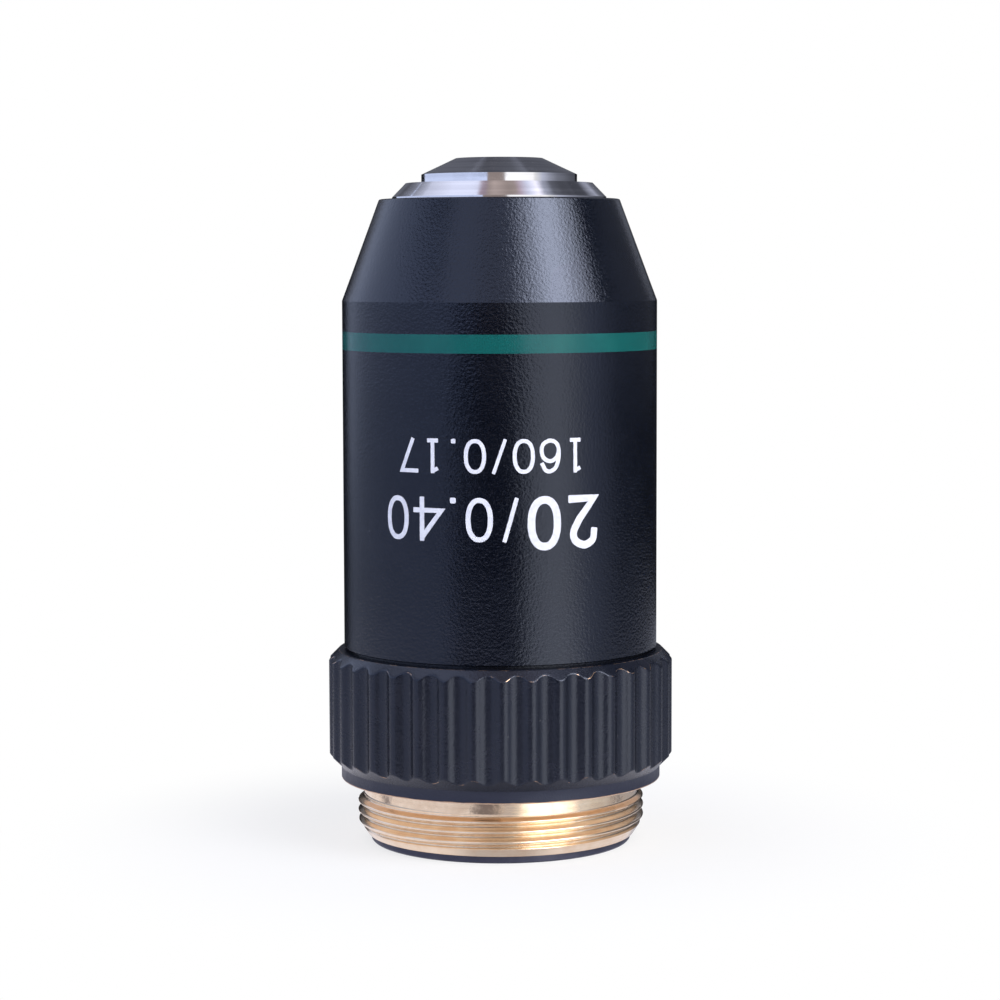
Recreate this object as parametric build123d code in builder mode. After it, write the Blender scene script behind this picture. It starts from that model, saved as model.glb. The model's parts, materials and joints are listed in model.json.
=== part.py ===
"""Microscope objective, 20x, with a spring-loaded nose. Sizes are in millimetres.

The origin is the centre of the rear face, on which the objective can stand, and +Z runs along the optical
axis towards the specimen. A brass base carries the fine mounting thread, the shoulder that seats on a
nosepiece, the fluted grip and the boss that the black barrel screws on. A plated lens tube slides inside,
pushed forward by a spring, and holds the front cell with its lens and two cemented doublets behind it.
Screw threads are plain cylinders here.
"""

from build123d import *

import os
from math import cos, radians, sin

# Fits and clearances
thread_gap = 0.02  # between a screwed or cemented piece and its seat, radially
slide_gap = 0.04  # between the lens tube and the guide that it slides in, radially
mouth_gap = 0.08  # between the lens tube and the barrel's mouth, radially
cement_gap = 0.02  # between the two lenses of a doublet

# Threaded base: fine thread behind the shoulder, knurled grip and barrel boss in front of it
thread_radius = 10.135
thread_length = 3.96  # from the thread's end to the shoulder
neck_depth = 0.435
neck_length = 1.03
runout_length = 0.37
lead_depth = 0.665
lead_length = 1.00
lip_set_back = 0.85  # from the grip's radius to the lip's
lip_height = 0.87
grip_stand_out = 1.10  # from the barrel's radius to the grip's
grip_height = 9.11  # from the shoulder to the grip's front face
grip_edge = 0.71
flute_count = 38
flute_depth = 0.37
crest_rounding = 0.45
first_crest_angle = 0.7  # degrees from -Y towards +X
boss_height = 4.00
light_bore_step = 0.68  # from the spigot's radius to the light bore's
guide_seat_height = 3.00  # from the shoulder to the seat of the guide tube

# Rear baffle, screwed into the thread's end
baffle_set_back = 0.27  # from the thread's end edge to the baffle's rim
baffle_thickness = 0.54
baffle_edge = 0.10
spigot_set_back = 0.62  # from the baffle's rim to its spigot
spigot_length = 2.20
spigot_wall = 1.58

# Lens tube and its guide
nose_radius = 7.50
nose_land = 0.14  # straight part in front of the barrel's mouth
nose_bevel_height = 0.98
nose_bevel_width = 0.95
lens_tube_length = 34.82
stack_wall = 1.90
stack_step = 0.70  # width of the shoulder that the lens stack seats on
stack_depth = 3.22  # from the nose face back to that shoulder
rear_wall = 1.50
guide_wall = 1.00
guide_stand_out = 3.19  # from the boss's end to the guide tube's
travel = 2.00

# Guide screw: a slotted grub screw whose tip runs in a groove of the lens tube
screw_radius = 0.60
screw_slot_width = 0.25
screw_slot_depth = 0.30
screw_drop = 1.60  # from the guide tube's front face to the screw
screw_tip_gap = 0.06
groove_depth = 0.60
groove_side_gap = 0.10
groove_end_gap = 0.15

# Barrel
spring_space = 2.40  # between the lens tube and the barrel, radially
barrel_wall = 1.15
barrel_length = 31.39
foot_gap = 0.20  # shadow gap between the grip and the barrel
foot_ledge = 0.45  # width of the barrel's foot that stands out past the boss's collar
foot_wall = 0.73
foot_edge = 0.06
cone_length = 7.05
mouth_wall = 0.84
mouth_land = 1.80
mouth_rounding = 0.15
ledge_depth = 8.20  # from the mouth face back to the ledge that stops the collar
ledge_clearance = 0.80

# Colour band: enamel in a shallow groove
band_drop = 2.12  # from the start of the cone to the band
band_width = 1.26
band_depth = 0.12

# Parfocal collar, its lock ring and the return spring
collar_height = 1.30
lock_ring_height = 1.20
collar_clearance = 0.30
wire_radius = 0.40
spring_turns = 7

# Front cell and its lens
cell_ledge = 0.55  # width of the cell's rim that stands on the lens tube
cell_rim_height = 0.60
cell_spigot_length = 3.00
cell_spigot_wall = 1.18
cell_flare = 1.10  # from the lens pocket out to the cell's open end
tip_height = 1.13
tip_lip = 0.20
tip_lip_width = 0.40
tip_face_width = 0.85
front_lens_thickness = 2.30

# Lens stack behind the front cell, from the front
front_spacer_length = 2.00
spacer_wall = 1.50
cell_lip = 0.60
cell_lip_width = 0.40
cell_room = 0.60  # from the crown's apex to the cell's end
middle_cell_wall = 1.76
rear_cell_wall = 1.06
flint_centre = 0.90
crown_edge = 0.60  # rim thickness of each crown lens
long_spacer_length = 5.00
stop_thickness = 0.30
stop_margin = 1.20  # from the rear doublet's rim in to the stop's opening
retainer_length = 1.60
retainer_wall = 1.20

# Slope of each curved lens face at its rim, in degrees
front_lens_slope = 46
middle_inner_slope = 36
middle_rear_slope = 20
rear_inner_slope = 32
rear_rear_slope = 19

# Spanner slots
slot_width = 1.20
slot_depth = 0.80
nut_slot_count = 4


def face_radius(lens_radius, rim_slope):
    """Radius of curvature of a spherical lens face with a given slope at its rim."""
    return lens_radius / sin(radians(rim_slope))


def sag(lens_radius, rim_slope):
    """Depth of that face from its apex to its rim."""
    return face_radius(lens_radius, rim_slope) * (1 - cos(radians(rim_slope)))


def cell_length(lens_radius, inner_slope, rear_slope):
    """Length of the cell that holds a cemented doublet, from its lip to the room behind the crown."""
    curves = sag(lens_radius, inner_slope) + sag(lens_radius, rear_slope)
    return cell_lip + flint_centre + cement_gap + crown_edge + curves + cell_room


# Radii that follow from the sizes above, from the thread's end forward
neck_radius = thread_radius - neck_depth
lead_radius = thread_radius - lead_depth
baffle_radius = lead_radius - baffle_set_back
spigot_radius = baffle_radius - spigot_set_back
baffle_bore = spigot_radius - spigot_wall
light_bore = spigot_radius - light_bore_step
guide_bore = nose_radius + slide_gap
guide_radius = guide_bore + guide_wall
groove_floor = nose_radius - groove_depth
barrel_bore = nose_radius + spring_space
barrel_radius = barrel_bore + barrel_wall
foot_bore = barrel_radius - foot_wall
boss_radius = foot_bore - thread_gap
grip_radius = barrel_radius + grip_stand_out
lip_radius = grip_radius - lip_set_back
band_inner = barrel_radius - band_depth
mouth_bore = nose_radius + mouth_gap
mouth_radius = mouth_bore + mouth_wall
ledge_bore = nose_radius + ledge_clearance
collar_radius = barrel_bore - collar_clearance
spring_radius = (guide_radius + barrel_bore) / 2
rear_bore = nose_radius - rear_wall
stack_bore = nose_radius - stack_wall
stack_fit = stack_bore - thread_gap
cell_bore = stack_bore - stack_step
cell_fit = cell_bore - thread_gap
cell_radius = cell_bore + cell_ledge
cell_mouth = cell_fit - cell_spigot_wall
pocket_radius = cell_mouth - cell_flare
front_lens_radius = pocket_radius - thread_gap
tip_opening = pocket_radius - tip_lip_width
tip_radius = tip_opening + tip_face_width
spacer_bore = stack_fit - spacer_wall
middle_radius = stack_fit - middle_cell_wall - thread_gap
rear_radius = stack_fit - rear_cell_wall - thread_gap
stop_opening = rear_radius - stop_margin

# Levels along the optical axis, from the rear face
shoulder = baffle_thickness + thread_length
neck_end = shoulder - neck_length
thread_start = neck_end - runout_length
lip_top = shoulder + lip_height
grip_top = shoulder + grip_height
barrel_foot = grip_top + foot_gap
boss_top = barrel_foot + boss_height
guide_seat = shoulder + guide_seat_height
guide_top = boss_top + guide_stand_out
screw_level = guide_top - screw_drop
barrel_top = barrel_foot + barrel_length
cone_start = barrel_top - cone_length
ledge_level = barrel_top - ledge_depth
band_top = cone_start - band_drop
nose_face = barrel_top + nose_land + nose_bevel_height
cell_shoulder = nose_face + cell_rim_height
tip_face = cell_shoulder + tip_height
lens_front = tip_face - tip_lip
lens_back = lens_front - front_lens_thickness
stack_front = nose_face - stack_depth
middle_cell_length = cell_length(middle_radius, middle_inner_slope, middle_rear_slope)
rear_cell_length = cell_length(rear_radius, rear_inner_slope, rear_rear_slope)
middle_front = stack_front - front_spacer_length
long_spacer_front = middle_front - middle_cell_length
rear_front = long_spacer_front - long_spacer_length
stop_front = rear_front - rear_cell_length
retainer_front = stop_front - stop_thickness
retainer_back = retainer_front - retainer_length
lock_ring_top = ledge_level - collar_height
spring_top = lock_ring_top - lock_ring_height

# Grip section: hollow arcs that run smoothly into rounded crests
half_pitch = 180 / flute_count
valley_radius = grip_radius - flute_depth
crest_centre = grip_radius - crest_rounding
reach = crest_centre * cos(radians(half_pitch))
hollow_rounding = (valley_radius**2 + crest_centre**2 - 2 * valley_radius * reach - crest_rounding**2) / (
    2 * (crest_rounding + reach - valley_radius)
)
hollow_centre = valley_radius + hollow_rounding


def grip_point(radius, angle):
    """A point of the grip's section at an angle in degrees from -Y, towards +X."""
    return Vector(radius * sin(radians(angle)), -radius * cos(radians(angle)))


def flank_point(valley_angle, side):
    """Where the hollow arc of a flute runs into the crest on one side of it, -1 or 1."""
    hollow = grip_point(hollow_centre, valley_angle)
    crest = grip_point(crest_centre, valley_angle + side * half_pitch)
    return hollow + (crest - hollow) * hollow_rounding / (hollow_rounding + crest_rounding)


def tube(name, front, length, outer, inner):
    """A plain ring or tube, from its front face back."""
    with BuildPart() as ring:
        with BuildSketch(Plane.XY.offset(front)):
            Circle(outer)
            Circle(inner, mode=Mode.SUBTRACT)
        extrude(amount=-length)
    ring.part.label = name
    return ring


def ring_nut(name, front, height):
    """A nut on the lens tube, with spanner slots in its rim."""
    with BuildPart() as nut:
        with BuildSketch(Plane.XY.offset(front)):
            Circle(collar_radius)
            Circle(nose_radius + thread_gap, mode=Mode.SUBTRACT)
            with PolarLocations(collar_radius, nut_slot_count):
                Rectangle(2 * slot_depth, slot_width, mode=Mode.SUBTRACT)
        extrude(amount=-height)
    nut.part.label = name
    return nut


def doublet_cell(name, front, length, glass_radius):
    """A ring that holds a cemented doublet behind a lip at its front."""
    with BuildPart() as cell:
        with BuildSketch(Plane.XY.offset(front)):
            Circle(stack_fit)
            Circle(glass_radius - cell_lip_width, mode=Mode.SUBTRACT)
        extrude(amount=-length)
        with BuildSketch(Plane.XY.offset(front - cell_lip)):
            Circle(glass_radius + thread_gap)
        extrude(amount=cell_lip - length, mode=Mode.SUBTRACT)
    cell.part.label = name
    return cell


def flint(name, cell_front, radius, rim_slope):
    """The plano-concave front lens of a doublet, with its flat face on the cell's lip."""
    front = cell_front - cell_lip
    hollow = front - flint_centre
    rim = hollow - sag(radius, rim_slope)
    with BuildPart() as lens:
        with BuildSketch(Plane.XZ):
            with BuildLine():
                Polyline((0, hollow), (0, front), (radius, front), (radius, rim))
                RadiusArc((radius, rim), (0, hollow), -face_radius(radius, rim_slope))
            make_face()
        revolve(axis=Axis.Z)
    lens.part.label = name
    return lens


def crown(name, cell_front, radius, front_slope, rear_slope):
    """The biconvex rear lens of a doublet, cemented into the flint's hollow."""
    front = cell_front - cell_lip - flint_centre - cement_gap
    front_rim = front - sag(radius, front_slope)
    rear_rim = front_rim - crown_edge
    back = rear_rim - sag(radius, rear_slope)
    with BuildPart() as lens:
        with BuildSketch(Plane.XZ):
            with BuildLine():
                Line((0, back), (0, front))
                RadiusArc((0, front), (radius, front_rim), face_radius(radius, front_slope))
                Line((radius, front_rim), (radius, rear_rim))
                RadiusArc((radius, rear_rim), (0, back), face_radius(radius, rear_slope))
            make_face()
        revolve(axis=Axis.Z)
    lens.part.label = name
    return lens


# Threaded base
with BuildPart() as threaded_base:
    with BuildSketch(Plane.XY.offset(lip_top)):
        with BuildLine():
            for flute in range(flute_count):
                valley_angle = first_crest_angle + (2 * flute + 1) * half_pitch
                start = flank_point(valley_angle, -1)
                end = flank_point(valley_angle, 1)
                next_start = flank_point(valley_angle + 2 * half_pitch, -1)
                ThreePointArc(start, grip_point(valley_radius, valley_angle), end)
                ThreePointArc(end, grip_point(grip_radius, valley_angle + half_pitch), next_start)
        make_face()
    extrude(amount=grip_height - lip_height)
    with BuildSketch(Plane.XZ):
        with BuildLine():
            Polyline(
                (0, lip_top),
                (lip_radius, lip_top),
                (grip_radius, lip_top + grip_radius - lip_radius),
                (grip_radius, grip_top - grip_edge),
                (grip_radius - grip_edge, grip_top),
                (0, grip_top),
                close=True,
            )
        make_face()
    revolve(axis=Axis.Z, mode=Mode.INTERSECT)
    with BuildSketch(Plane.XZ):
        with BuildLine():
            Polyline(
                (0, baffle_thickness),
                (lead_radius, baffle_thickness),
                (thread_radius, baffle_thickness + lead_length),
                (thread_radius, thread_start),
                (neck_radius, neck_end),
                (neck_radius, shoulder),
                (lip_radius, shoulder),
                (lip_radius, lip_top),
                (0, lip_top),
                close=True,
            )
        make_face()
    revolve(axis=Axis.Z)
    with BuildSketch(Plane.XY.offset(grip_top)):
        Circle(barrel_radius - foot_ledge)
    extrude(amount=foot_gap)
    with BuildSketch(Plane.XY.offset(barrel_foot)):
        Circle(boss_radius)
    extrude(amount=boss_height)
    with BuildSketch(Plane.XY.offset(boss_top)):
        Circle(guide_radius + thread_gap)
    extrude(amount=guide_seat - boss_top, mode=Mode.SUBTRACT)
    with Locations((0, 0, guide_seat)):
        Hole(light_bore)
    with BuildSketch(Plane.XY.offset(baffle_thickness)):
        Circle(spigot_radius + thread_gap)
    extrude(amount=spigot_length + thread_gap, mode=Mode.SUBTRACT)
threaded_base.part.label = "threaded_base"

# Rear baffle: a blackened ring that closes the thread's end and shades the light path
with BuildPart() as rear_baffle:
    with BuildSketch(Plane.XY):
        Circle(baffle_radius)
    extrude(amount=baffle_thickness)
    chamfer(rear_baffle.edges().group_by(Axis.Z)[0], baffle_edge)
    with BuildSketch(Plane.XY.offset(baffle_thickness)):
        Circle(spigot_radius)
    extrude(amount=spigot_length)
    Hole(baffle_bore)
    with BuildSketch(Plane.XY):
        Rectangle(baffle_bore + baffle_radius, slot_width)
    extrude(amount=slot_depth, mode=Mode.SUBTRACT)
rear_baffle.part.label = "rear_baffle"

# Barrel: a black sleeve that ends in a cone, with a mouth for the nose and a ledge that stops the collar
with BuildPart() as barrel:
    with BuildSketch(Plane.XZ):
        with BuildLine():
            Polyline(
                (foot_bore, barrel_foot),
                (barrel_radius, barrel_foot),
                (barrel_radius, cone_start),
                (mouth_radius, barrel_top),
                (mouth_bore, barrel_top),
                (mouth_bore, barrel_top - mouth_land),
                (ledge_bore, barrel_top - mouth_land),
                (ledge_bore, ledge_level),
                (barrel_bore, ledge_level),
                (barrel_bore, boss_top + foot_gap),
                (foot_bore, boss_top + foot_gap),
                close=True,
            )
        make_face()
    revolve(axis=Axis.Z)
    fillet(barrel.edges().group_by(Axis.Z)[-1].sort_by(SortBy.LENGTH)[-1], mouth_rounding)
    chamfer(barrel.edges().group_by(Axis.Z)[0].sort_by(SortBy.LENGTH)[-1], foot_edge)
    with BuildSketch(Plane.XY.offset(band_top)):
        Circle(barrel_radius)
        Circle(band_inner, mode=Mode.SUBTRACT)
    extrude(amount=-band_width, mode=Mode.SUBTRACT)
barrel.part.label = "barrel"

colour_band = tube("colour_band", band_top, band_width, barrel_radius, band_inner)

# Guide tube: screwed into the base, it guides the lens tube and centres the spring
screw_plane = Plane((0, guide_radius, screw_level), z_dir=(0, 1, 0))
with BuildPart() as guide_tube:
    with BuildSketch(Plane.XY.offset(guide_seat)):
        Circle(guide_radius)
        Circle(guide_bore, mode=Mode.SUBTRACT)
    extrude(amount=guide_top - guide_seat)
    with Locations(screw_plane):
        Hole(screw_radius + thread_gap, depth=guide_radius - groove_floor)
guide_tube.part.label = "guide_tube"

# Guide screw: it keeps the lens tube from turning, and ends its travel
with BuildPart() as guide_screw:
    with BuildSketch(screw_plane):
        Circle(screw_radius)
    extrude(amount=groove_floor + screw_tip_gap - guide_radius)
    with BuildSketch(screw_plane):
        Rectangle(2 * screw_radius, screw_slot_width)
    extrude(amount=-screw_slot_depth, mode=Mode.SUBTRACT)
guide_screw.part.label = "guide_screw"

# Return spring: open coils between the boss and the lock ring, both ends ground flat
with BuildPart() as return_spring:
    spring_height = spring_top - boss_top
    with BuildLine():
        coil = Helix(spring_height / spring_turns, spring_height, spring_radius, center=(0, 0, boss_top))
    with BuildSketch(Plane(coil @ 0, z_dir=coil % 0)):
        Circle(wire_radius)
    sweep(is_frenet=True)
    with BuildSketch(Plane.XY.offset(boss_top)):
        Circle(barrel_bore)
    extrude(amount=spring_height, mode=Mode.INTERSECT)
return_spring.part.label = "return_spring"

# Lens tube: the plated sleeve that slides, with the bevelled ring seen in front of the barrel
with BuildPart() as lens_tube:
    with BuildSketch(Plane.XZ):
        with BuildLine():
            Polyline(
                (rear_bore, nose_face - lens_tube_length),
                (nose_radius, nose_face - lens_tube_length),
                (nose_radius, nose_face - nose_bevel_height),
                (nose_radius - nose_bevel_width, nose_face),
                (cell_bore, nose_face),
                (cell_bore, stack_front),
                (stack_bore, stack_front),
                (stack_bore, retainer_back),
                (rear_bore, retainer_back),
                close=True,
            )
        make_face()
    revolve(axis=Axis.Z)
    groove_width = 2 * (screw_radius + groove_side_gap)
    groove_length = travel + 2 * (screw_radius + groove_end_gap)
    with Locations((0, nose_radius, screw_level + travel / 2)):
        Box(groove_width, 2 * groove_depth, groove_length, mode=Mode.SUBTRACT)
lens_tube.part.label = "lens_tube"

# Front cell: the polished tip, screwed into the lens tube
with BuildPart() as front_cell:
    with BuildSketch(Plane.XZ):
        with BuildLine():
            Polyline(
                (tip_opening, tip_face),
                (tip_radius, tip_face),
                (cell_radius, cell_shoulder),
                (cell_radius, nose_face),
                (cell_fit, nose_face),
                (cell_fit, nose_face - cell_spigot_length),
                (cell_mouth, nose_face - cell_spigot_length),
                (pocket_radius, lens_back),
                (pocket_radius, lens_front),
                (tip_opening, lens_front),
                close=True,
            )
        make_face()
    revolve(axis=Axis.Z)
front_cell.part.label = "front_cell"

# Front lens: plano-convex, with its flat face to the specimen
with BuildPart() as front_lens:
    lens_rim = lens_back + sag(front_lens_radius, front_lens_slope)
    dome_radius = face_radius(front_lens_radius, front_lens_slope)
    with BuildSketch(Plane.XZ):
        with BuildLine():
            Line((0, lens_back), (0, lens_front))
            Line((0, lens_front), (front_lens_radius, lens_front))
            Line((front_lens_radius, lens_front), (front_lens_radius, lens_rim))
            RadiusArc((front_lens_radius, lens_rim), (0, lens_back), dome_radius)
        make_face()
    revolve(axis=Axis.Z)
front_lens.part.label = "front_lens"

# Lens stack behind the front cell
front_spacer = tube("front_spacer", stack_front, front_spacer_length, stack_fit, spacer_bore)
middle_cell = doublet_cell("middle_cell", middle_front, middle_cell_length, middle_radius)
middle_flint = flint("middle_flint", middle_front, middle_radius, middle_inner_slope)
middle_crown = crown("middle_crown", middle_front, middle_radius, middle_inner_slope, middle_rear_slope)
long_spacer = tube("long_spacer", long_spacer_front, long_spacer_length, stack_fit, spacer_bore)
rear_cell = doublet_cell("rear_cell", rear_front, rear_cell_length, rear_radius)
rear_flint = flint("rear_flint", rear_front, rear_radius, rear_inner_slope)
rear_crown = crown("rear_crown", rear_front, rear_radius, rear_inner_slope, rear_rear_slope)
aperture_stop = tube("aperture_stop", stop_front, stop_thickness, stack_fit, stop_opening)

# Retaining ring: screwed in from the back, it clamps the whole stack
with BuildPart() as retaining_ring:
    with BuildSketch(Plane.XY.offset(retainer_back)):
        Circle(stack_fit)
        Circle(stack_fit - retainer_wall, mode=Mode.SUBTRACT)
    extrude(amount=retainer_length)
    with BuildSketch(Plane.XY.offset(retainer_back)):
        Rectangle(2 * stack_bore, slot_width)
    extrude(amount=slot_depth, mode=Mode.SUBTRACT)
retaining_ring.part.label = "retaining_ring"

# Parfocal collar and lock ring: they set how far the nose stands out
parfocal_collar = ring_nut("parfocal_collar", ledge_level, collar_height)
lock_ring = ring_nut("lock_ring", lock_ring_top, lock_ring_height)

pieces = [
    threaded_base,
    rear_baffle,
    barrel,
    colour_band,
    guide_tube,
    guide_screw,
    return_spring,
    lens_tube,
    front_cell,
    front_lens,
    front_spacer,
    middle_cell,
    middle_flint,
    middle_crown,
    long_spacer,
    rear_cell,
    rear_flint,
    rear_crown,
    aperture_stop,
    retaining_ring,
    parfocal_collar,
    lock_ring,
]

os.makedirs("parts", exist_ok=True)
for piece in pieces:
    export_step(piece.part, f"parts/{piece.part.label}.step")
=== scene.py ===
"""Looks of the microscope objective: paint, brass, plating, enamel, glass and numerals on its solids."""

import json
from math import atan2, ceil, cos, floor, hypot, pi, radians, sin, sqrt, tan

import bmesh
import bpy
from mathutils import Matrix, Vector, noise


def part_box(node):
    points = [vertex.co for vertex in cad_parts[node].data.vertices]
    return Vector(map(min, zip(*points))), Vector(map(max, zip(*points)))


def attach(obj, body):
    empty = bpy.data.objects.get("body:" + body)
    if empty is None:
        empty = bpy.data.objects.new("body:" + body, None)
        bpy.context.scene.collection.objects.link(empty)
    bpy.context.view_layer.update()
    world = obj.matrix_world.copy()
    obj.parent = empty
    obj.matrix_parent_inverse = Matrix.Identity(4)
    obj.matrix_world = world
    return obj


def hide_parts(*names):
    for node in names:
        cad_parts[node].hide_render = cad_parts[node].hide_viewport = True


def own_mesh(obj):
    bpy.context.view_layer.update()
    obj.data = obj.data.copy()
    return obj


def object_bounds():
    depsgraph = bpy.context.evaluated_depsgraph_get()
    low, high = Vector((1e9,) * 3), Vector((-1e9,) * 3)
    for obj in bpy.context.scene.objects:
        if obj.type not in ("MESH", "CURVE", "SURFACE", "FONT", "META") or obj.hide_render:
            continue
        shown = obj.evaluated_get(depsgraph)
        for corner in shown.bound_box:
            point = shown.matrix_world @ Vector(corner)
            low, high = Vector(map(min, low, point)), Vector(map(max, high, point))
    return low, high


MM = 0.001
PER_MM = 1000  # turns features per millimetre into features per metre, which every Scale counts

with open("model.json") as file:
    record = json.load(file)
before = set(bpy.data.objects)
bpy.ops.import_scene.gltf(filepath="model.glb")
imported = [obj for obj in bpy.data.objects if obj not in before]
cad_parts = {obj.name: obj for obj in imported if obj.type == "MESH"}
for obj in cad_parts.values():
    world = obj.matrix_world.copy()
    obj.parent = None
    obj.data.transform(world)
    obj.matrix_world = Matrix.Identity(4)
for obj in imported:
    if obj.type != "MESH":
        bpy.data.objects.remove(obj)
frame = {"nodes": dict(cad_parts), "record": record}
nodes = frame["nodes"]
cad_low, cad_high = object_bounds()


def levels(node):
    """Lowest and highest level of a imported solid, in millimetres."""
    low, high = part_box(node)
    return low.z / MM, high.z / MM


def reach(node):
    """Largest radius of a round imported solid, in millimetres."""
    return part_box(node)[1].x / MM


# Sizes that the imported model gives, in millimetres
mounts = {mount["name"]: mount for mount in frame["record"]["mounts"]}
shoulder = mounts["shoulder"]["pos_m"][2] / MM
thread_radius = mounts["mounting_thread"]["dims"]["r_mm"]
thread_end, boss_top = levels("threaded_base")
barrel_foot = levels("barrel")[0]
barrel_radius = reach("barrel")
guide_seat = levels("guide_tube")[0]
guide_radius = reach("guide_tube")
spring_back, spring_front = levels("return_spring")
spring_outer = reach("return_spring")
baffle_top = levels("rear_baffle")[1]

# Threaded base, in millimetres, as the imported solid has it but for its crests
grip_stand_out = 1.10
lip_set_back = 0.85
lip_height = 0.87
grip_edge = 0.71
foot_gap = 0.20
foot_ledge = 0.45
boss_set_back = 0.75  # from the barrel's radius to the boss's
flute_count = 38
flute_depth = 0.37
crest_rounding = 0.62  # over the coat of paint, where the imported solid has 0.45
first_crest_angle = 0.7  # degrees from -Y towards +X
light_bore = 7.90  # radius
spigot_bore = 8.60  # radius
guide_fit = 0.02

grip_radius = barrel_radius + grip_stand_out
lip_radius = grip_radius - lip_set_back
lip_top = shoulder + lip_height
grip_top = barrel_foot - foot_gap
collar_radius = barrel_radius - foot_ledge
boss_radius = barrel_radius - boss_set_back

# Mounting thread: 36 to the inch, 55 degree form, right-handed
thread_pitch = 25.4 / 36
flank_angle = radians(27.5)
thread_rounding = 0.1373  # in pitches
thread_depth = 0.6403  # in pitches
front_crest_level = 3.01  # level of a crest at the very front
neck_radius = 9.70
neck_end = shoulder - 1.03
runout_length = 0.37
lead_radius = 9.47
lead_length = 1.00
groove_shade = 0.36  # painted shade, deepest in the bottom of a groove

# Small nicks along the crests, from a random field read on a cylinder of its own
nick_depth = 0.12
nick_rarity = 0.32
nick_radius = 6.0  # of that cylinder, in the field's own units
nick_stretch = 4  # its height for each millimetre of thread


# Shader building


def add_node(tree, kind, settings=None, **inputs):
    """Adds a shader node. An input is a value or a socket, under its name with underscores for spaces."""
    made = tree.nodes.new("ShaderNode" + kind)
    for name, value in (settings or {}).items():
        setattr(made, name, value)
    for name, value in inputs.items():
        fill(tree, made.inputs[name.replace("_", " ")], value)
    return made


def fill(tree, socket, value):
    """Links a socket to an input, or writes a value in it."""
    if isinstance(value, bpy.types.NodeSocket):
        tree.links.new(value, socket)
    else:
        socket.default_value = value


def calculate(tree, operation, first, second=0.0, clamp=False):
    """One step of arithmetic on two numbers or sockets."""
    made = tree.nodes.new("ShaderNodeMath")
    made.operation = operation
    made.use_clamp = clamp
    fill(tree, made.inputs[0], first)
    fill(tree, made.inputs[1], second)
    return made.outputs[0]


def remap(tree, value, low, high, to_low=0.0, to_high=1.0):
    """A number moved smoothly from one range to another, and kept inside it."""
    made = tree.nodes.new("ShaderNodeMapRange")
    made.interpolation_type = "SMOOTHSTEP"
    names = ("Value", "From Min", "From Max", "To Min", "To Max")
    for name, number in zip(names, (value, low, high, to_low, to_high)):
        fill(tree, made.inputs[name], number)
    return made.outputs[0]


def between(tree, share, first, second):
    """The first number where share is 0, the second where it is 1."""
    return remap(tree, share, 0, 1, first, second)


def blend_colours(tree, share, first, second):
    """The first colour where share is 0, the second where it is 1."""
    made = tree.nodes.new("ShaderNodeMix")
    made.data_type = "RGBA"
    fill(tree, made.inputs[0], share)
    fill(tree, made.inputs[6], first if isinstance(first, bpy.types.NodeSocket) else (*first, 1.0))
    fill(tree, made.inputs[7], second if isinstance(second, bpy.types.NodeSocket) else (*second, 1.0))
    return made.outputs[2]


def mix_shaders(tree, share, first, second):
    """The first shader where share is 0, the second where it is 1."""
    made = add_node(tree, "MixShader", Fac=share)
    tree.links.new(first.outputs[0], made.inputs[1])
    tree.links.new(second.outputs[0], made.inputs[2])
    return made


def object_place(tree):
    """Place on the piece, in metres."""
    return add_node(tree, "TexCoord").outputs["Object"]


def cloud(tree, place, scale, detail=2.0, roughness=0.5):
    """Soft random values from 0 to 1."""
    made = add_node(tree, "TexNoise", Vector=place, Scale=scale, Detail=detail, Roughness=roughness)
    return made.outputs["Fac"]


def new_group(name, inputs, outputs):
    """An effect that several materials share, with its named inputs and outputs."""
    group = bpy.data.node_groups.new(name, "ShaderNodeTree")
    for label, value in inputs.items():
        socket = group.interface.new_socket(name=label, in_out="INPUT", socket_type="NodeSocketFloat")
        socket.default_value = value
    for label in outputs:
        group.interface.new_socket(name=label, in_out="OUTPUT", socket_type="NodeSocketFloat")
    given = group.nodes.new("NodeGroupInput").outputs
    result = group.nodes.new("NodeGroupOutput").inputs
    return group, given, result


def use(tree, group, **inputs):
    """Places a shared effect in a material and returns its outputs."""
    made = tree.nodes.new("ShaderNodeGroup")
    made.node_tree = group
    for name, value in inputs.items():
        fill(tree, made.inputs[name.replace("_", " ")], value)
    return made.outputs


# Effects that several materials share


def make_paint_grain():
    """Orange peel of sprayed paint: rounded bumps with finer ones on them, which may sparkle."""
    group, given, result = new_group("paint_grain", {"Scale": 6 * PER_MM}, ["Height", "Sparkle"])
    finer = 2.7
    finer_share = 0.35
    place = object_place(group)
    bumps = cloud(group, place, given["Scale"], detail=1.5, roughness=0.45)
    fine = cloud(group, place, calculate(group, "MULTIPLY", given["Scale"], finer), detail=1.0)
    height = calculate(group, "ADD", bumps, calculate(group, "MULTIPLY", fine, finer_share))
    group.links.new(height, result["Height"])
    group.links.new(remap(group, fine, low=0.62, high=0.74), result["Sparkle"])
    return group


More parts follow.
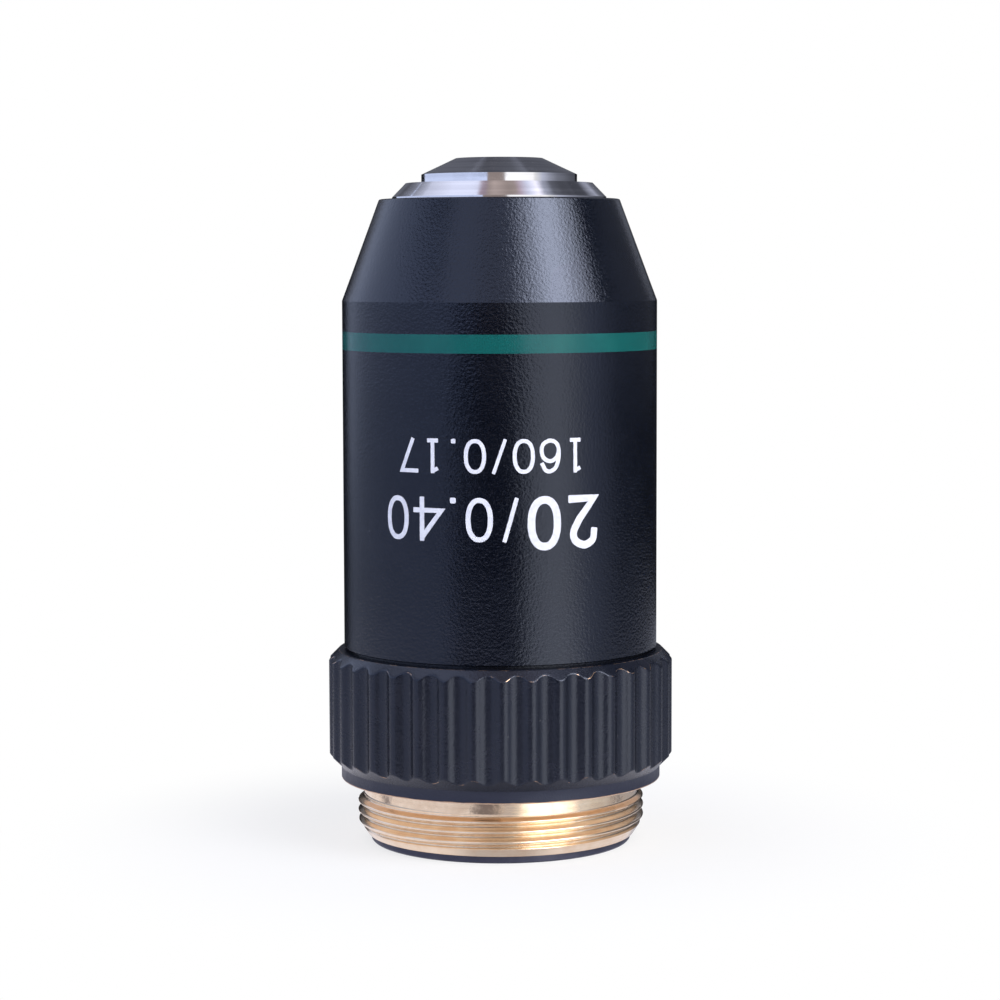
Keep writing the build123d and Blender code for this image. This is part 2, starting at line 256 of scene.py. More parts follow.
def make_turning_marks():
    """Fine rings left by the lathe, on cylinders and on faces."""
    group, given, result = new_group(
        "turning_marks", {"Scale": 9 * PER_MM, "Wander": 0.02}, ["Height", "Streak"]
    )
    coarser = 0.23
    place = object_place(group)
    parts = add_node(group, "SeparateXYZ", Vector=place).outputs
    across = add_node(group, "CombineXYZ", X=parts["X"], Y=parts["Y"]).outputs[0]
    radius = add_node(group, "VectorMath", {"operation": "LENGTH"}).outputs["Value"]
    group.links.new(across, radius.node.inputs[0])
    sideways = calculate(group, "ADD", parts["X"], parts["Y"])
    drift = calculate(group, "MULTIPLY", sideways, given["Wander"])
    rings = add_node(group, "CombineXYZ", X=radius, Y=parts["Z"], Z=drift).outputs[0]
    fine = cloud(group, rings, given["Scale"], detail=3.0, roughness=0.6)
    coarse = cloud(group, rings, calculate(group, "MULTIPLY", given["Scale"], coarser), detail=2.0)
    group.links.new(fine, result["Height"])
    group.links.new(remap(group, coarse, low=0.35, high=0.65), result["Streak"])
    return group


def make_edge_wear():
    """Where a coat has worn off: broken lines along the edges that the Edge input marks."""
    group, given, result = new_group(
        "edge_wear", {"Edge": 0.0, "Amount": 0.0, "Scale": 1.2 * PER_MM}, ["Mask"]
    )
    patchiness = 1.6
    patches = cloud(group, object_place(group), given["Scale"], detail=3.0, roughness=0.6)
    patches = calculate(group, "MULTIPLY", patches, patchiness)
    worn = calculate(group, "ADD", calculate(group, "ADD", patches, given["Amount"]), given["Edge"])
    group.links.new(remap(group, worn, low=1.8, high=1.95), result["Mask"])
    return group


def make_dust():
    """Scattered specks of dust and lint, each in a cell of its own."""
    group, given, result = new_group("dust", {"Scale": 1.6 * PER_MM, "Size": 0.16}, ["Mask"])
    empty_share = 0.55
    cells = add_node(group, "TexVoronoi", Vector=object_place(group), Scale=given["Scale"])
    luck = add_node(group, "SeparateColor", Color=cells.outputs["Color"]).outputs
    size = calculate(group, "MULTIPLY", luck[0], given["Size"])
    chosen = calculate(group, "GREATER_THAN", luck[1], empty_share)
    near = calculate(group, "LESS_THAN", cells.outputs["Distance"], size)
    group.links.new(calculate(group, "MULTIPLY", near, chosen), result["Mask"])
    return group


def make_smudge():
    """Soft patches left by handling."""
    group, given, result = new_group("smudge", {"Scale": 0.35 * PER_MM}, ["Patch"])
    broad = cloud(group, object_place(group), given["Scale"], detail=4.0, roughness=0.6)
    group.links.new(remap(group, broad, low=0.35, high=0.7), result["Patch"])
    return group


paint_grain = make_paint_grain()
turning_marks = make_turning_marks()
edge_wear = make_edge_wear()
dust = make_dust()
smudge = make_smudge()


# Materials


def new_material(name, **inputs):
    """A material with one Principled surface. Gives it back with its node tree and the surface's sockets."""
    material = bpy.data.materials.new(name)
    material.use_nodes = True
    tree = material.node_tree
    tree.nodes.clear()
    surface = add_node(tree, "BsdfPrincipled", **inputs)
    output = tree.nodes.new("ShaderNodeOutputMaterial")
    tree.links.new(surface.outputs[0], output.inputs["Surface"])
    return material, tree, surface.inputs


def finish(tree, sockets, colour, rough, height=None, relief=0.0):
    """Gives a surface its colour, its roughness and, from a height, a relief in millimetres."""
    fill(tree, sockets["Base Color"], colour)
    fill(tree, sockets["Roughness"], rough)
    if height is not None:
        bumps = add_node(tree, "Bump", Strength=1.0, Distance=relief * MM, Height=height)
        tree.links.new(bumps.outputs[0], sockets["Normal"])


def edge_attribute(tree):
    """The share of worn edge, of stain or of painted groove shade that a piece's own mesh marks on its
    points.
    """
    return add_node(tree, "Attribute", {"attribute_name": "edge"}).outputs["Fac"]


def textured_paint():
    """Satin black of the barrel, with a fine sprayed texture."""
    material, tree, sockets = new_material(
        "textured_black_paint", Specular_IOR_Level=0.60, Specular_Tint=(0.72, 0.79, 1.0, 1.0)
    )
    grain = use(tree, paint_grain, Scale=5.5 * PER_MM)
    patch = use(tree, smudge, Scale=0.25 * PER_MM)["Patch"]
    specks = use(tree, dust, Scale=0.8 * PER_MM, Size=0.03)["Mask"]
    black = blend_colours(tree, patch, (0.0012, 0.0022, 0.0054), (0.0020, 0.0032, 0.0070))
    dusty = blend_colours(tree, specks, black, (0.16, 0.16, 0.18))
    finish(tree, sockets, dusty, between(tree, patch, 0.16, 0.19), grain["Height"], relief=0.021)
    return material


def grip_paint():
    """Semi-gloss black of the grip, with worn edges, a duller lip and a bare face where it seats."""
    material, tree, sockets = new_material(
        "grip_black_paint", Specular_IOR_Level=0.56, Specular_Tint=(0.76, 0.82, 1.0, 1.0)
    )
    lip_dullness = 0.20
    grain = use(tree, paint_grain, Scale=7 * PER_MM)
    patch = use(tree, smudge, Scale=0.5 * PER_MM)["Patch"]
    specks = use(tree, dust, Scale=1.5 * PER_MM, Size=0.045)["Mask"]
    worn = use(tree, edge_wear, Edge=edge_attribute(tree), Amount=0.05, Scale=0.9 * PER_MM)["Mask"]
    level = add_node(tree, "SeparateXYZ", Vector=object_place(tree)).outputs["Z"]
    lip = remap(tree, level, low=(lip_top + 0.05) * MM, high=(lip_top - 0.1) * MM)
    seat = remap(tree, level, low=(shoulder + 0.06) * MM, high=(shoulder + 0.01) * MM)
    black = blend_colours(tree, patch, (0.0035, 0.0050, 0.0105), (0.0060, 0.0072, 0.0135))
    black = blend_colours(tree, lip, black, (0.013, 0.015, 0.029))
    dusty = blend_colours(tree, specks, black, (0.16, 0.15, 0.15))
    bare = blend_colours(tree, seat, (0.58, 0.38, 0.25), (0.90, 0.72, 0.56))
    colour = blend_colours(tree, worn, dusty, bare)
    dulled = calculate(tree, "MULTIPLY", lip, lip_dullness)
    rough = calculate(tree, "ADD", between(tree, patch, 0.23, 0.29), dulled)
    fill(tree, sockets["Metallic"], worn)
    finish(tree, sockets, colour, rough, grain["Height"], relief=0.016)
    return material


def brass_look(tree, bright, dull, rough_low, rough_high):
    """Lathe rings and duller patches on bare brass: its colour, its roughness and the height of its rings."""
    streak_share = 0.35
    patch_share = 0.65
    marks = use(tree, turning_marks, Scale=14 * PER_MM)
    patch = use(tree, smudge, Scale=0.8 * PER_MM)["Patch"]
    streaked = calculate(tree, "MULTIPLY", marks["Streak"], streak_share)
    share = calculate(tree, "ADD", streaked, calculate(tree, "MULTIPLY", patch, patch_share), clamp=True)
    colour = blend_colours(tree, share, bright, dull)
    return colour, between(tree, share, rough_low, rough_high), marks["Height"]


def thread_finish():
    """Bare brass of the thread and neck, stained where its mesh marks the neck, with painted shade where it
    marks the grooves.
    """
    material, tree, sockets = new_material("bare_thread_brass", Metallic=1.0)
    colour, rough, rings = brass_look(
        tree, bright=(0.93, 0.77, 0.58), dull=(0.86, 0.65, 0.45), rough_low=0.16, rough_high=0.26
    )
    cloudiness = 0.9
    stain_and_shade_dullness = 0.22
    cloudy = cloud(tree, object_place(tree), 3.5 * PER_MM, detail=4.0, roughness=0.65)
    cloudy = calculate(tree, "MULTIPLY", cloudy, cloudiness)
    # Dark brown in cloudy patches: stains on the neck, and painted shade towards the bottom of the grooves.
    stain_and_shade = remap(tree, calculate(tree, "ADD", edge_attribute(tree), cloudy), low=0.80, high=1.35)
    stained_and_shaded = blend_colours(tree, stain_and_shade, colour, (0.34, 0.26, 0.20))
    rough = calculate(tree, "ADD", rough, calculate(tree, "MULTIPLY", stain_and_shade, stain_and_shade_dullness))
    finish(tree, sockets, stained_and_shaded, rough, rings, relief=0.002)
    return material


def inner_finish():
    """Brass of the guide, collar and lock ring, which nobody handles."""
    material, tree, sockets = new_material("inner_brass", Metallic=1.0)
    colour, rough, rings = brass_look(
        tree, bright=(0.80, 0.58, 0.32), dull=(0.58, 0.38, 0.20), rough_low=0.26, rough_high=0.42
    )
    finish(tree, sockets, colour, rough, rings, relief=0.003)
    return material


def green_enamel():
    """Enamel in the colour band: satin, slightly uneven in depth."""
    material, tree, sockets = new_material(
        "green_enamel", Specular_IOR_Level=0.45, Specular_Tint=(0.75, 0.82, 1.0, 1.0)
    )
    grain = use(tree, paint_grain, Scale=8 * PER_MM)
    patch = use(tree, smudge, Scale=0.4 * PER_MM)["Patch"]
    green = blend_colours(tree, patch, (0.003, 0.086, 0.080), (0.005, 0.100, 0.090))
    finish(tree, sockets, green, between(tree, grain["Sparkle"], 0.19, 0.14), grain["Height"], relief=0.006)
    return material


def bright_plating():
    """Polished plating on the lens tube and the front cell, with faint lathe rings and dust."""
    material, tree, sockets = new_material("bright_plating")
    marks = use(tree, turning_marks, Scale=11 * PER_MM)
    patch = use(tree, smudge, Scale=0.9 * PER_MM)["Patch"]
    specks = use(tree, dust, Scale=1.3 * PER_MM, Size=0.10)["Mask"]
    plate = blend_colours(tree, marks["Streak"], (0.66, 0.66, 0.70), (0.56, 0.56, 0.60))
    dusty = blend_colours(tree, specks, plate, (0.50, 0.48, 0.45))
    fill(tree, sockets["Metallic"], calculate(tree, "SUBTRACT", 1.0, specks))
    finish(tree, sockets, dusty, between(tree, patch, 0.07, 0.15), marks["Height"], relief=0.0005)
    return material


def blackened(name, colour, dull):
    """Blackened brass of the baffle and the inner rings: matt, with lathe rings showing through."""
    material, tree, sockets = new_material(name, Metallic=0.35)
    marks = use(tree, turning_marks, Scale=10 * PER_MM)
    patch = use(tree, smudge, Scale=0.7 * PER_MM)["Patch"]
    black = blend_colours(tree, patch, colour, dull)
    finish(tree, sockets, black, between(tree, marks["Streak"], 0.34, 0.5), marks["Height"], relief=0.003)
    return material


def drawn_steel():
    """Bright steel of the spring and the guide screw, with drawing marks and a light oil film."""
    material, tree, sockets = new_material("drawn_steel", Metallic=1.0)
    marks = use(tree, turning_marks, Scale=20 * PER_MM)
    patch = use(tree, smudge, Scale=1.2 * PER_MM)["Patch"]
    oiled = blend_colours(tree, patch, (0.55, 0.55, 0.56), (0.42, 0.41, 0.40))
    finish(tree, sockets, oiled, between(tree, marks["Streak"], 0.22, 0.36), marks["Height"], relief=0.002)
    return material


def optical_glass(name, colour, index):
    """Coated optical glass with a few specks and a faint smear."""
    material, tree, sockets = new_material(name, IOR=index, Transmission_Weight=1.0)
    patch = use(tree, smudge, Scale=0.6 * PER_MM)["Patch"]
    specks = use(tree, dust, Scale=1.2 * PER_MM, Size=0.06)["Mask"]
    dusty = blend_colours(tree, specks, colour, (0.55, 0.55, 0.52))
    finish(tree, sockets, dusty, between(tree, patch, 0.0, 0.035))
    return material


def white_ink():
    """White numerals: a thin, slightly uneven fill."""
    material, tree, sockets = new_material("white_ink")
    grain = use(tree, paint_grain, Scale=9 * PER_MM)
    patch = use(tree, smudge, Scale=2.5 * PER_MM)["Patch"]
    white = blend_colours(tree, patch, (0.76, 0.77, 0.84), (0.66, 0.67, 0.76))
    finish(tree, sockets, white, between(tree, patch, 0.42, 0.6), grain["Height"], relief=0.005)
    return material


barrel_paint = textured_paint()
grip_coat = grip_paint()
thread_brass = thread_finish()
inner_brass = inner_finish()
enamel = green_enamel()
plating = bright_plating()
baffle_black = blackened("baffle_black", (0.040, 0.043, 0.076), (0.058, 0.060, 0.096))
inner_black = blackened("inner_black", (0.020, 0.020, 0.022), (0.035, 0.034, 0.034))
steel = drawn_steel()
crown_glass = optical_glass("crown_glass", (0.94, 0.98, 0.96), 1.52)
flint_glass = optical_glass("flint_glass", (0.96, 0.96, 0.92), 1.62)
ink = white_ink()

node_materials = {
    "rear_baffle": baffle_black,
    "barrel": barrel_paint,
    "colour_band": enamel,
    "guide_tube": inner_brass,
    "guide_screw": steel,
    "lens_tube": plating,
    "front_cell": plating,
    "front_lens": crown_glass,
    "front_spacer": inner_black,
    "middle_cell": inner_black,
    "middle_flint": flint_glass,
    "middle_crown": crown_glass,
    "long_spacer": inner_black,
    "rear_cell": inner_black,
    "rear_flint": flint_glass,
    "rear_crown": crown_glass,
    "aperture_stop": inner_black,
    "retaining_ring": inner_black,
    "parfocal_collar": inner_brass,
    "lock_ring": inner_brass,
}
for name, material in node_materials.items():
    nodes[name].data.materials.clear()
    nodes[name].data.materials.append(material)


# Mesh building


weld_distance = 0.0005 * MM  # points nearer to each other than this become one


def make_piece(name, points, faces, material, edge=None, smooth_below=40):
    """A closed piece from points in millimetres. Edge gives each point its share of worn edge, of stain or of
    painted shade.
    """
    mesh = bpy.data.meshes.new(name)
    mesh.from_pydata([Vector(point) * MM for point in points], [], faces)
    if edge is not None:
        marks = mesh.attributes.new("edge", "FLOAT", "POINT")
        marks.data.foreach_set("value", edge)
    work = bmesh.new()
    work.from_mesh(mesh)
    bmesh.ops.remove_doubles(work, verts=work.verts, dist=weld_distance)
    bmesh.ops.dissolve_degenerate(work, dist=weld_distance, edges=work.edges)
    bmesh.ops.recalc_face_normals(work, faces=work.faces)
    work.to_mesh(mesh)
    work.free()
    mesh.shade_smooth()
    mesh.set_sharp_from_angle(angle=radians(smooth_below))
    mesh.materials.append(material)
    piece = bpy.data.objects.new(name, mesh)
    bpy.context.scene.collection.objects.link(piece)
    return piece


def around(radius, angle, level):
    """A point at an angle in radians from -Y towards +X."""
    return (radius * sin(angle), -radius * cos(angle), level)


def join_rings(ring_starts, columns, closed=True):
    """Quads between neighbouring rings of points, and from the last ring to the first."""
    faces = []
    pairs = list(zip(ring_starts, ring_starts[1:]))
    if closed:
        pairs.append((ring_starts[-1], ring_starts[0]))
    for lower, upper in pairs:
        for column in range(columns):
            following = (column + 1) % columns
            faces.append((lower + column, lower + following, upper + following, upper + column))
    return faces


# Fluted grip


def grip_section(crest_steps=6, hollow_steps=10):
    """Angle and radius of points round the grip: rounded crests that run into hollow flutes."""
    half_pitch = pi / flute_count
    valley_radius = grip_radius - flute_depth
    crest_centre = grip_radius - crest_rounding
    along = crest_centre * cos(half_pitch)
    hollow_rounding = (valley_radius**2 + crest_centre**2 - 2 * valley_radius * along - crest_rounding**2) / (
        2 * (crest_rounding + along - valley_radius)
    )
    hollow_centre = valley_radius + hollow_rounding
    crest_turn = atan2(hollow_centre * sin(half_pitch), hollow_centre * cos(half_pitch) - crest_centre)
    hollow_turn = atan2(crest_centre * sin(half_pitch), hollow_centre - crest_centre * cos(half_pitch))
    section = []
    for flute in range(flute_count):
        crest_angle = radians(first_crest_angle) + 2 * flute * half_pitch
        for step in range(crest_steps):
            turn = crest_turn * (2 * step / crest_steps - 1)
            out = crest_centre + crest_rounding * cos(turn)
            side = crest_rounding * sin(turn)
            section.append((crest_angle + atan2(side, out), hypot(side, out)))
        for step in range(hollow_steps):
            turn = hollow_turn * (2 * step / hollow_steps - 1)
            out = hollow_centre - hollow_rounding * cos(turn)
            side = hollow_rounding * sin(turn)
            section.append((crest_angle + half_pitch + atan2(side, out), hypot(side, out)))
    return section


def grip_profile(flank):
    """Radius, level and share of wear down the inside and up the outside, where the flank has one radius."""
    bare = 2  # more wear than any coat holds out against
    lip_edge = 0.05
    fine_edge = 0.035
    bevel_edge = 0.055
    plain_run = 1.2  # keeps the wear of a flank's ends near them
    lower_edge = lip_top + flank - lip_radius
    upper_edge = grip_top - (flank - grip_radius + grip_edge)
    rim = grip_radius - grip_edge
    return [
        # Seat and lip
        (light_bore, shoulder, 0),
        (neck_radius, shoulder, bare),
        (lip_radius - 3 * lip_edge, shoulder, bare),
        (lip_radius - lip_edge, shoulder, bare),
        (lip_radius - 0.3 * lip_edge, shoulder + 0.3 * lip_edge, bare),
        (lip_radius, shoulder + lip_edge, 1.5),
        (lip_radius, shoulder + 3 * lip_edge, 0),
        (lip_radius, lip_top - lip_edge, 0),
        (lip_radius + lip_edge, lip_top + lip_edge, 0),
        # Flute, and the bevel above it
        (flank - 3 * fine_edge, lower_edge - 3 * fine_edge, 0),
        (flank - fine_edge, lower_edge - fine_edge, 0.55),
        (flank - 0.3 * fine_edge, lower_edge, 0.92),
        (flank, lower_edge + fine_edge, 0.55),
        (flank, lower_edge + 3 * fine_edge, 0),
        (flank, lower_edge + plain_run, 0),
        (flank, (lower_edge + upper_edge) / 2, 0),
        (flank, upper_edge - plain_run, 0),
        (flank, upper_edge - 3 * bevel_edge, 0),
        (flank, upper_edge - bevel_edge, 0.45),
        (flank - 0.3 * bevel_edge, upper_edge, 0.96),
        (flank - bevel_edge, upper_edge + bevel_edge, 0.7),
        (flank - 3 * bevel_edge, upper_edge + 3 * bevel_edge, 0),
        # Rim, collar and boss
        (rim + 3 * fine_edge, grip_top - 3 * fine_edge, 0),
        (rim + fine_edge, grip_top - fine_edge, 0.6),
        (rim, grip_top - 0.3 * fine_edge, 1),
        (rim - fine_edge, grip_top, 0.6),
        (rim - 3 * fine_edge, grip_top, 0),
        (collar_radius, grip_top, 0),
        (collar_radius, barrel_foot, 0),
        (boss_radius, barrel_foot, 0),
        (boss_radius, boss_top, 0),
        (guide_radius + guide_fit, boss_top, 0),
        (guide_radius + guide_fit, guide_seat, 0),
        (light_bore, guide_seat, 0),
    ]


def make_grip():
    """The painted part of the base: lip, fluted grip, collar and the boss inside the barrel."""
    section = grip_section()
    profiles = [grip_profile(flank) for _, flank in section]
    points, edge, starts = [], [], []
    for row in range(len(profiles[0])):
        starts.append(len(points))
        for (angle, flank), profile in zip(section, profiles):
            radius, level, share = profile[row]
            points.append(around(radius, angle, level))
            edge.append(float(share))
    return make_piece("painted_grip", points, join_rings(starts, len(section)), grip_coat, edge)


# Mounting thread and neck


def thread_drop(phase):
    """How far the thread lies below its crests, in pitches, at a distance in pitches from a crest."""
    distance = abs(phase - round(phase))
    arc_reach = thread_rounding * cos(flank_angle)
    if distance < arc_reach:
        return thread_rounding - sqrt(thread_rounding**2 - distance**2)
    from_root = 0.5 - distance
    if from_root < arc_reach:
        return thread_depth - thread_rounding + sqrt(thread_rounding**2 - from_root**2)
    return thread_rounding * (1 - sin(flank_angle)) + (distance - arc_reach) / tan(flank_angle)


def thread_surface(angle, level, phase):
    """Radius and share of painted shade in the grooves of the thread, which tapers at its end and runs out
    into the neck.
    """
    drop = thread_drop(phase) * thread_pitch
    crest = 1 - drop / (thread_depth * thread_pitch)
    peak = noise.noise(Vector(around(nick_radius, angle, nick_stretch * level))) - nick_rarity
    nick = nick_depth * max(0.0, peak) * crest**4
    radius = thread_radius - drop - nick
    runout = min(1.0, max(0.0, (neck_end - level) / runout_length))
    radius = neck_radius + (radius - neck_radius) * runout * runout * (3 - 2 * runout)
    lead = lead_radius + (level - thread_end) * (thread_radius - lead_radius) / lead_length
    if lead < radius:
        return lead, 0.0
    return radius, groove_shade * (1 - crest) * runout


# Stains that handling left round the neck: an angle and a half width in degrees, and a strength
neck_stains = ((-55, 7, 0.7), (-6, 9, 0.9), (56, 9, 0.6), (97, 12, 0.7), (168, 14, 0.8), (-131, 10, 0.7))


def neck_stain(turn):
    """How stained the neck is at a share of a turn from -Y."""
    angle = (turn * 360 + 180) % 360 - 180
    shares = []
    for place, half_width, strength in neck_stains:
        shares.append(strength * max(0.0, 1 - ((angle - place) / half_width) ** 2))
    return max(shares)


def make_thread(columns=360, steps=16):
    """The bare brass part of the base: fine thread, neck and the bore behind them."""
    points, edge = [], []
    first = floor((thread_end - front_crest_level - thread_pitch) / thread_pitch * steps)
    last = ceil((neck_end - front_crest_level) / thread_pitch * steps) + steps
    rows = last - first + 1
    for column in range(columns):
        turn = column / columns
        for row in range(rows):
            phase = (first + row) / steps
            level = front_crest_level + (turn + phase) * thread_pitch
            level = min(neck_end, max(thread_end, level))
            true_phase = (level - front_crest_level) / thread_pitch - turn
            radius, share = thread_surface(2 * pi * turn, level, true_phase)
            points.append(around(radius, 2 * pi * turn, level))
            edge.append(share)
    faces = []
    for column in range(columns):
        following = (column + 1) % columns
        lift = 0 if following else steps
        for row in range(rows - 1 - lift):
            here = column * rows + row
            there = following * rows + row + lift
            faces.append((here, there, there + 1, here + 1))
    starts = []
    spigot_seat = baffle_top + guide_fit
    straight = 0.03  # keeps the shading of the run-out off the neck
    profile = [
        (neck_radius, neck_end),
        (neck_radius, neck_end + straight),
        (neck_radius, shoulder - straight),
        (neck_radius, shoulder),
        (light_bore, shoulder),
        (light_bore, spigot_seat),
        (spigot_bore, spigot_seat),
        (spigot_bore, thread_end),
        (lead_radius, thread_end),
    ]
    for radius, level in profile:
        starts.append(len(points))
        for column in range(columns):
            points.append(around(radius, 2 * pi * column / columns, level))
            edge.append(neck_stain(column / columns) if radius == neck_radius else 0.0)
    faces += join_rings(starts, columns, closed=False)
    return make_piece("thread_and_neck", points, faces, thread_brass, edge, smooth_below=50)


# Return spring


def make_spring(turns=7, steps=60, sides=12, wire_radius=0.40):
    """Open coils of round wire, ground flat at both ends."""
    points, starts = [], []
    first_end = pi / 2  # towards +X
    coil_radius = spring_outer - wire_radius
    for step in range(turns * steps + 1):
        angle = 2 * pi * step / steps + first_end
        middle = spring_back + (spring_front - spring_back) * step / (turns * steps)
        starts.append(len(points))
        for side in range(sides):
            turn = 2 * pi * side / sides
            level = min(spring_front, max(spring_back, middle + wire_radius * sin(turn)))
            points.append(around(coil_radius + wire_radius * cos(turn), angle, level))
    faces = join_rings(starts, sides, closed=False)
    faces.append(tuple(range(sides - 1, -1, -1)))
    faces.append(tuple(range(starts[-1], starts[-1] + sides)))
    return make_piece("coil_spring", points, faces, steel)


# Numerals


ink_root = 0.015  # how far the fill reaches into the barrel, in millimetres
ink_height = 0.014  # how far it stands out
sharpest_mitre = 0.50  # a sharper corner is cut short
end_share = 0.80  # where the end of a stroke starts to narrow, and its width at the very end
dot_halves = ((0.0, 0.34), (0.13, 0.47), (0.5, 0.5), (0.87, 0.47), (1.0, 0.34))  # half widths along a dot
waver_pace = 5  # how soon the edge of a fill turns


def oval(steps=56, squareness=2.25):
    """Points round a zero in a box one wide and one high."""
    points = []
    for step in range(steps):
        across, up = cos(2 * pi * step / steps), sin(2 * pi * step / steps)
        wide = abs(across) ** (2 / squareness) * (1 if across > 0 else -1)
        high = abs(up) ** (2 / squareness) * (1 if up > 0 else -1)
        points.append((0.5 + wide / 2, 0.5 + high / 2))
    return points


def between_points(a, b, c, d, t):
    """A coordinate at a share t of the way from b to c, on a smooth curve through a, b, c and d."""
    return 0.5 * (2 * b + (c - a) * t + (2 * a - 5 * b + 4 * c - d) * t**2 + (3 * b - a - 3 * c + d) * t**3)


def curve_through(points, steps=6):
    """A smooth line through given points."""
    ends = [points[0], *points, points[-1]]
    line = []
    for four in zip(ends, ends[1:], ends[2:], ends[3:]):
        for step in range(steps):
            line.append(tuple(between_points(*places, step / steps) for places in zip(*four)))
    line.append(points[-1])
    return line


# Each numeral's strokes in a box one wide and one high: the centreline, and whether it closes
numeral_strokes = {
    "0": [(oval(), True)],
    "1": [
        ([(0.50, 0.0), (0.50, 1.0)], False),
        ([(0.0, 0.93), (0.46, 0.985)], False),
        ([(0.0, 0.0), (1.0, 0.0)], False),
    ],
    "2": [
        (
            curve_through([(0.03, 0.72), (0.10, 0.90), (0.46, 1.0), (0.85, 0.90), (0.92, 0.70), (0.66, 0.42)])
            + [(0.05, 0.0), (1.0, 0.0)],
            False,
        )
    ],
    "4": [([(0.74, 0.0), (0.74, 1.0)], False), ([(0.70, 0.94), (0.0, 0.28), (1.0, 0.28)], False)],
    "6": [
        (
            curve_through(
                [
                    (0.94, 0.78), (0.78, 0.95), (0.50, 1.0), (0.16, 0.85), (0.01, 0.48),
                    (0.10, 0.13), (0.50, 0.0), (0.90, 0.12), (0.99, 0.34), (0.86, 0.57),
                    (0.50, 0.67), (0.14, 0.55), (0.03, 0.36),
                ]
            ),
            False,
        )
    ],
    "7": [([(0.0, 1.0), (1.0, 1.0), (0.27, 0.0)], False)],
    "/": [([(0.0, 0.0), (1.0, 1.0)], False)],
}


def stroke_rings(centreline, closed, width):
    """Left and right points of a stroke of even width, mitred at corners and a little narrower at its end."""
    line = [Vector(point) for point in centreline]
    if not closed:
        start = (line[0] - line[1]).normalized() * width / 2
        end = (line[-1] - line[-2]).normalized() * width / 2
        first, last = line[0], line[-1]
        line = [first + start, first + end_share * start, *line, last + end_share * end, last + end]
    count = len(line)
    rings = []
    for index, point in enumerate(line):
        ahead = line[(index + 1) % count] - point if closed or index < count - 1 else None
        behind = point - line[index - 1] if closed or index else None
        runs = [run.normalized() for run in (behind, ahead) if run is not None]
        sides = [Vector((-run.y, run.x)) for run in runs]
        mitre = sum(sides, Vector((0, 0))).normalized()
        stretch = 1 / max(sharpest_mitre, mitre.dot(sides[0]))
        blunt = end_share if not closed and index in (0, count - 1) else 1.0
        offset = mitre * width / 2 * stretch * blunt
        rings.append((point + offset, point - offset))
    return rings


def dot_rings(size):
    """Left and right points of a dot: a square with its corners taken off."""
    rings = []
    for along, half in dot_halves:
        rings.append((Vector((along, 0.5 + half)) * size, Vector((along, 0.5 - half)) * size))
    return rings


def waver(point, layer):
    """How far the edge of a fill strays at a point, from -1 to 1."""
    return noise.noise(Vector((point.x * waver_pace, point.y * waver_pace, layer)))


def divide_rings(rings, closed, longest=0.22, unevenness=0.012):
    """More rings between neighbours, so that a long run follows the barrel, with the fill's uneven edges."""
    divided = []
    pairs = list(zip(rings, rings[1:] + rings[:1]))
    if not closed:
        pairs.pop()
    for (left, right), (next_left, next_right) in pairs:
        run = max((next_left - left).length, (next_right - right).length)
        count = max(1, ceil(run / longest))
        for step in range(count):
            divided.append((left.lerp(next_left, step / count), right.lerp(next_right, step / count)))
    if not closed:
        divided.append(rings[-1])
    uneven = []
    for left, right in divided:
        across = (left - right).normalized() * unevenness
        uneven.append((left + across * waver(left, 0), right + across * waver(right, 9)))
    return uneven


def lay_stroke(points, faces, rings, closed, place):
    """Adds a stroke as a thin closed solid wrapped on the barrel."""
    below, above = barrel_radius - ink_root, barrel_radius + ink_height
    starts = []
    for left, right in rings:
        starts.append(len(points))
        for radius, spot in ((below, left), (above, left), (above, right), (below, right)):
            arc, level = place(spot)
            points.append(around(radius, arc / barrel_radius, level))
    faces += join_rings(starts, 4, closed)
    if not closed:
        faces.append((starts[0] + 3, starts[0] + 2, starts[0] + 1, starts[0]))
        faces.append(tuple(range(starts[-1], starts[-1] + 4)))


def measure(style, kind, numeral):
    """A style's stroke, width or advance for a numeral, or else its usual one."""
    return style[kind].get(numeral, style[kind]["digit"])


def make_numerals(name, text, style, start, baseline):
    """A line of numerals that reads with the front lens down. Start is in millimetres round the barrel."""
    points, faces = [], []
    cursor = start
    for numeral in text:
        advance = measure(style, "advance", numeral)
        width = measure(style, "width", numeral)
        stroke = measure(style, "stroke", numeral)
        half = stroke / 2
        height = style["height"]
        left = cursor - (advance - width) / 2
        outlines = []
        if numeral == ".":
            outlines.append((dot_rings(width), False))
        else:
            for centreline, closed in numeral_strokes[numeral]:
                sized = [(half + x * (width - stroke), half + y * (height - stroke)) for x, y in centreline]
                outlines.append((stroke_rings(sized, closed, stroke), closed))
        for rings, closed in outlines:
            rings = divide_rings(rings, closed)
            lay_stroke(points, faces, rings, closed, lambda spot: (left - spot.x, baseline - spot.y))
        cursor -= advance
    return make_piece(name, points, faces, ink)


bold = {
    "height": 3.65,
    "stroke": {"digit": 0.52},
    "width": {"digit": 2.33},
    "advance": {"digit": 2.87},
}
light = {
    "height": 2.98,
    "stroke": {"digit": 0.34, "/": 0.28},
    "width": {"digit": 1.84, "4": 2.28, "/": 1.05, ".": 0.40},
    "advance": {"digit": 2.45, "/": 1.75, ".": 1.15},
}
small = {
    "height": 2.33,
    "stroke": {"digit": 0.27, "/": 0.23},
    "width": {"digit": 1.50, "1": 0.80, "7": 1.46, "/": 0.96, ".": 0.31},
    "advance": {"digit": 1.82, "/": 1.45, ".": 1.15},
}

large_baseline = shoulder + 20.75
light_baseline = large_baseline - 0.09
small_baseline = shoulder + 24.59
large_start = 7.32
light_start = large_start - 2 * bold["advance"]["digit"]
small_start = 6.15

grip = make_grip()
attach(grip, "housing")
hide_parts("threaded_base")

thread = make_thread()
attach(thread, "housing")
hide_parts("threaded_base")

spring = make_spring()
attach(spring, "housing")
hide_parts("return_spring")
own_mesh(spring)

